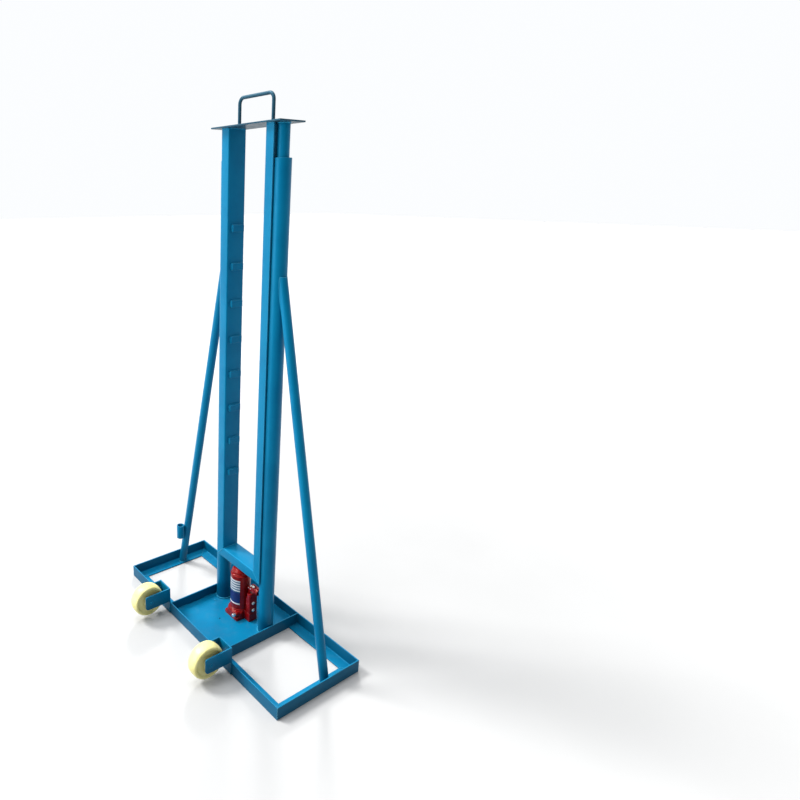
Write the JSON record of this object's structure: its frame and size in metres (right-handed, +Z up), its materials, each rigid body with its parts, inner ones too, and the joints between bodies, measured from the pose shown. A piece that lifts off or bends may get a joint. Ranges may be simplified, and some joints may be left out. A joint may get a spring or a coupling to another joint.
{
  "type": "hydraulic axle jack stand",
  "caption": "Blue steel axle stand: a hook-rest ladder frame slides up two braced posts on a red bottle jack, over an angle-steel base with tilt-and-roll wheels.",
  "frame": {"origin": "bottom centre of the stand's box, on the floor", "axes": "+Z up, +X along the base towards the right post, -Y towards the wheels"},
  "size_m": [1, 0.552, 2],
  "materials": {
    "blue_paint": "satin",
    "red_paint": "gloss",
    "nylon": "satin",
    "steel": "satin",
    "black_nylon": "matte",
    "rubber": "matte"
  },
  "bodies": {
    "base": {"front_rail": "blue_paint", "rear_rail": "blue_paint", "left_end_rail": "blue_paint", "right_end_rail": "blue_paint", "left_cross_rail": "blue_paint", "right_cross_rail": "blue_paint", "tray_plate": "blue_paint", "left_post": "blue_paint", "right_post": "blue_paint", "left_guide_bush": "black_nylon", "right_guide_bush": "black_nylon", "left_brace": "blue_paint", "right_brace": "blue_paint", "lever_socket": "blue_paint", "left_wheel_bracket": "blue_paint", "right_wheel_bracket": "blue_paint", "left_wheel_axle": "blue_paint", "right_wheel_axle": "blue_paint", "jack_base": "red_paint", "jack_cylinder": "red_paint", "jack_cap": "red_paint", "jack_pump_body": "red_paint", "jack_lug_pin": "steel", "jack_front_link": "red_paint", "jack_rear_link": "red_paint", "jack_filler_plug": "rubber", "jack_check_plug": "steel", "jack_overload_plug": "steel"},
    "lift_frame": {"left_leg": "blue_paint", "right_leg": "blue_paint", "cross_beam": "blue_paint", "top_plate": "blue_paint", "handle": "blue_paint", "left_guide_tube": "blue_paint", "right_guide_tube": "blue_paint", "left_hook_1": "blue_paint", "left_hook_2": "blue_paint", "left_hook_3": "blue_paint", "left_hook_4": "blue_paint", "left_hook_5": "blue_paint", "left_hook_6": "blue_paint", "left_hook_7": "blue_paint", "left_hook_8": "blue_paint", "right_hook_1": "blue_paint", "right_hook_2": "blue_paint", "right_hook_3": "blue_paint", "right_hook_4": "blue_paint", "right_hook_5": "blue_paint", "right_hook_6": "blue_paint", "right_hook_7": "blue_paint", "right_hook_8": "blue_paint"},
    "ram": {"jack_ram": "steel"},
    "extension_screw": {"jack_extension_screw": "steel"},
    "plunger": {"jack_pump_plunger": "steel", "jack_plunger_pin": "steel"},
    "rocker": {"jack_rocker": "red_paint", "jack_link_pin": "steel"},
    "release_valve": {"jack_release_valve": "steel"},
    "left_wheel": {"left_wheel": "nylon"},
    "right_wheel": {"right_wheel": "nylon"}
  },
  "joints": [
    {"name": "frame_lift", "type": "slide", "parent": "base", "child": "lift_frame", "axis": [0, 0, 1], "range_m": [0, 0.125]},
    {"name": "ram_slide", "type": "slide", "parent": "base", "child": "ram", "axis": [0, 0, 1], "range_m": [0, 0.125]},
    {"name": "extension_screw_turn", "type": "hinge", "parent": "ram", "child": "extension_screw", "pos_m": [-0.004, 0.116, 0.26], "axis": [0, 0, 1], "continuous": true},
    {"name": "plunger_slide", "type": "slide", "parent": "base", "child": "plunger", "axis": [0, 0, 1], "range_m": [-0.0043, 0.0043]},
    {"name": "rocker_hinge", "type": "hinge", "parent": "plunger", "child": "rocker", "pos_m": [0.057, 0.13, 0.1573], "axis": [0, -1, 0], "range_deg": [-20, 20]},
    {"name": "release_valve_turn", "type": "hinge", "parent": "base", "child": "release_valve", "pos_m": [0.024, 0.068, 0.0373], "axis": [0, -1, 0], "range_deg": [0, 270]},
    {"name": "left_wheel_spin", "type": "hinge", "parent": "base", "child": "left_wheel", "pos_m": [-0.212, -0.209, 0.084], "axis": [1, 0, 0], "continuous": true},
    {"name": "right_wheel_spin", "type": "hinge", "parent": "base", "child": "right_wheel", "pos_m": [0.212, -0.209, 0.084], "axis": [1, 0, 0], "continuous": true}
  ],
  "couplings": [
    {"joint": "ram_slide", "follows": "frame_lift", "ratio": 1},
    {"joint": "rocker_hinge", "follows": "plunger_slide", "rad_per_m": 80}
  ]
}
